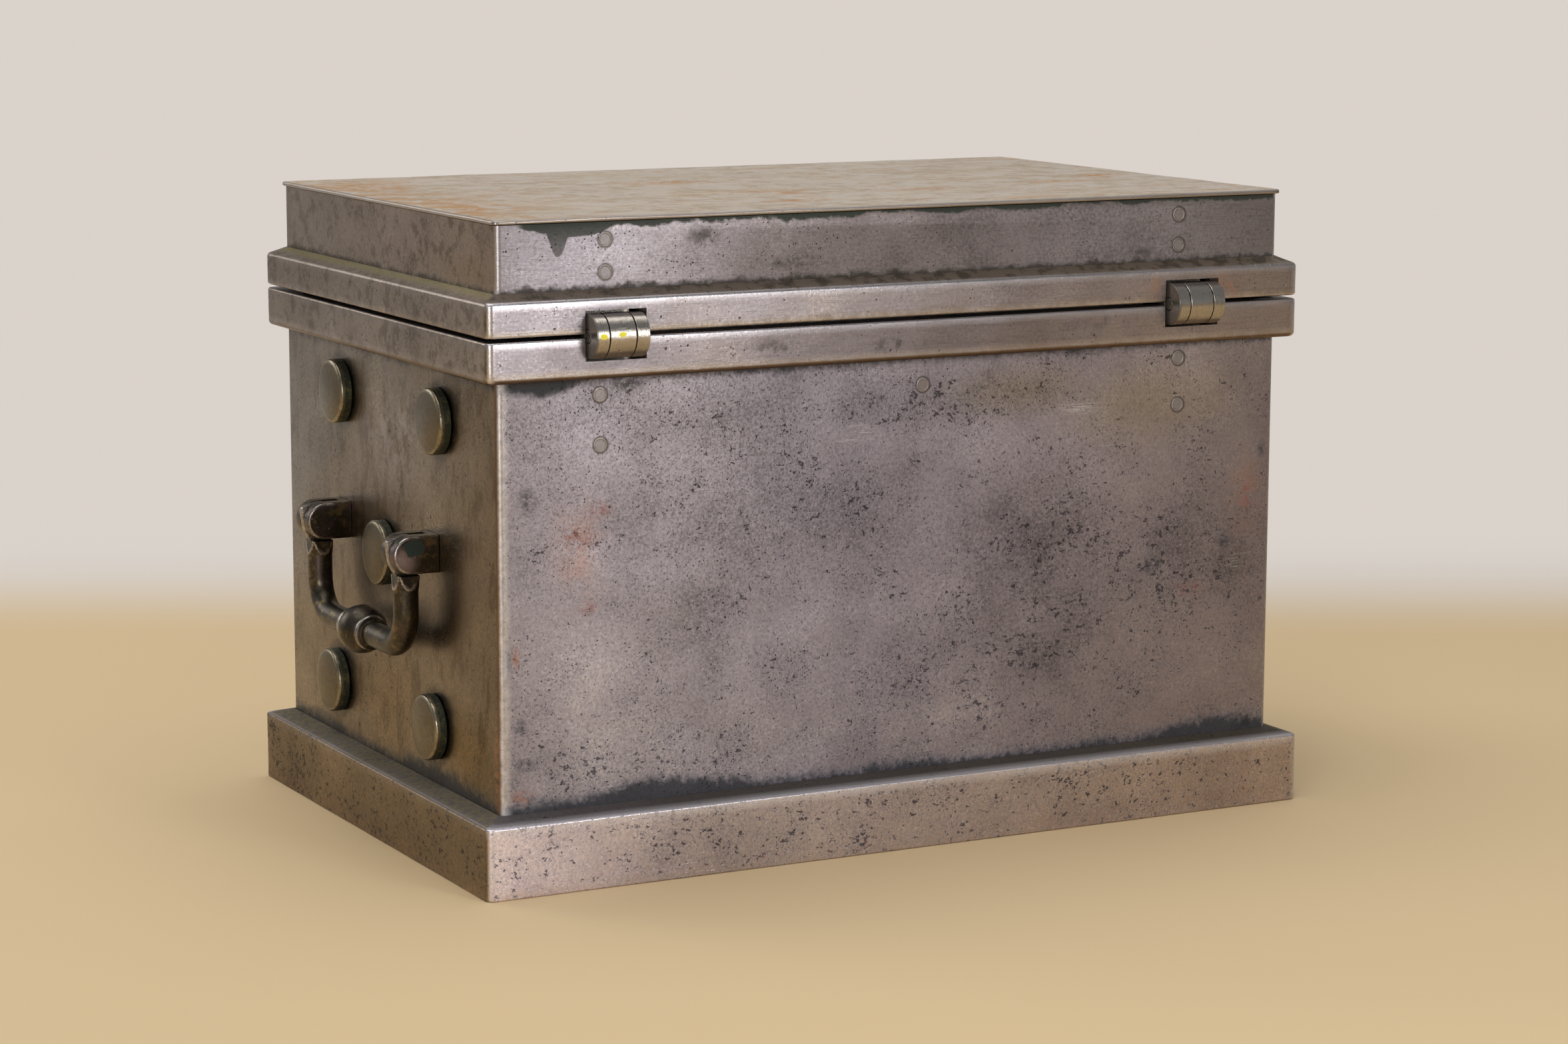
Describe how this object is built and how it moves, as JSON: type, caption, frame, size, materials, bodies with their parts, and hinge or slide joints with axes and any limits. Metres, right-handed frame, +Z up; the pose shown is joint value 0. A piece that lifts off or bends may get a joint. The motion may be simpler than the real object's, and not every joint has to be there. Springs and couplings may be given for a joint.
{
  "type": "strongbox",
  "caption": "Small iron strongbox with a hinged lid, domed bosses, a drop handle on each end, and a bolt lock behind a turning keyhole cover.",
  "frame": {"origin": "middle of the underside, on the surface that the box stands on", "axes": "+Z up, +X along the length towards the pictured end, +Y towards the back with the hinges, so the lock side faces -Y"},
  "size_m": [0.4486, 0.282, 0.2931],
  "materials": {
    "back_steel": "worn, polished and pitted old iron plate",
    "top_steel": "polished old iron plate with rust stains",
    "boss_steel": "dull old iron with bright worn edges",
    "dark_iron": "dark forged iron, worn bright where it is gripped",
    "inner_iron": "dull dark iron",
    "hinge_steel": "polished iron"
  },
  "bodies": {
    "box": {"bottom_plate": "inner_iron", "body_sheet": "back_steel", "body_front": "back_steel", "plinth": "back_steel", "body_rim": "back_steel", "hinge_body_leaf_right": "hinge_steel", "hinge_body_leaf_left": "hinge_steel", "hinge_pin_right": "hinge_steel", "hinge_pin_left": "hinge_steel", "boss_right_1": "boss_steel", "boss_right_2": "boss_steel", "boss_right_3": "boss_steel", "boss_right_4": "boss_steel", "boss_right_5": "boss_steel", "boss_left_1": "boss_steel", "boss_left_2": "boss_steel", "boss_left_3": "boss_steel", "boss_left_4": "boss_steel", "boss_left_5": "boss_steel", "boss_front_1": "boss_steel", "boss_front_2": "boss_steel", "boss_front_3": "boss_steel", "boss_front_4": "boss_steel", "keyhole_cover_pin": "boss_steel", "handle_lug_right_front": "dark_iron", "handle_lug_right_back": "dark_iron", "handle_lug_left_front": "dark_iron", "handle_lug_left_back": "dark_iron", "bail_pin_right_front": "dark_iron", "bail_pin_right_back": "dark_iron", "bail_pin_left_front": "dark_iron", "bail_pin_left_back": "dark_iron", "lip_back": "inner_iron", "lip_right": "inner_iron", "lip_left": "inner_iron", "lip_front_right": "inner_iron", "lip_front_left": "inner_iron", "lock_plate": "inner_iron", "lock_cap": "inner_iron", "lock_screw_1": "inner_iron", "lock_screw_2": "inner_iron", "lock_screw_3": "inner_iron", "lock_screw_4": "inner_iron", "bolt_guides": "inner_iron", "lever_pin": "inner_iron", "key_post": "inner_iron", "lock_ward": "inner_iron"},
    "lid": {"lid_sheet": "back_steel", "lid_front": "back_steel", "lid_rim": "back_steel", "top_plate": "top_steel", "hinge_lid_leaf_right": "hinge_steel", "hinge_lid_leaf_left": "hinge_steel", "lid_staple": "inner_iron"},
    "bail_right": {"bail_right": "dark_iron"},
    "bail_left": {"bail_left": "dark_iron"},
    "keyhole_cover": {"keyhole_cover": "boss_steel"},
    "lock_bolt": {"lock_bolt": "inner_iron", "bolt_spring": "inner_iron"},
    "lock_lever": {"lock_lever": "inner_iron"}
  },
  "joints": [
    {"name": "lid_hinge", "type": "hinge", "parent": "box", "child": "lid", "pos_m": [0, 0.1344, 0.24255], "axis": [-1, 0, 0], "range_deg": [0, 178]},
    {"name": "bail_right_swing", "type": "hinge", "parent": "box", "child": "bail_right", "pos_m": [0.213, 0, 0.1403], "axis": [0, -1, 0], "range_deg": [-1.8, 90]},
    {"name": "bail_left_swing", "type": "hinge", "parent": "box", "child": "bail_left", "pos_m": [-0.213, 0, 0.1403], "axis": [0, 1, 0], "range_deg": [-1.8, 90]},
    {"name": "keyhole_cover_turn", "type": "hinge", "parent": "box", "child": "keyhole_cover", "pos_m": [0, -0.1264, 0.1424], "axis": [0, -1, 0], "continuous": true},
    {"name": "bolt_throw", "type": "slide", "parent": "box", "child": "lock_bolt", "axis": [1, 0, 0], "range_m": [0, 0.012]},
    {"name": "lever_turn", "type": "hinge", "parent": "box", "child": "lock_lever", "pos_m": [-0.024, -0.1115, 0.17], "axis": [0, 1, 0], "range_deg": [0, 16.43]}
  ],
  "couplings": [
    {"joint": "lever_turn", "follows": "bolt_throw", "rad_per_m": 23.891}
  ]
}
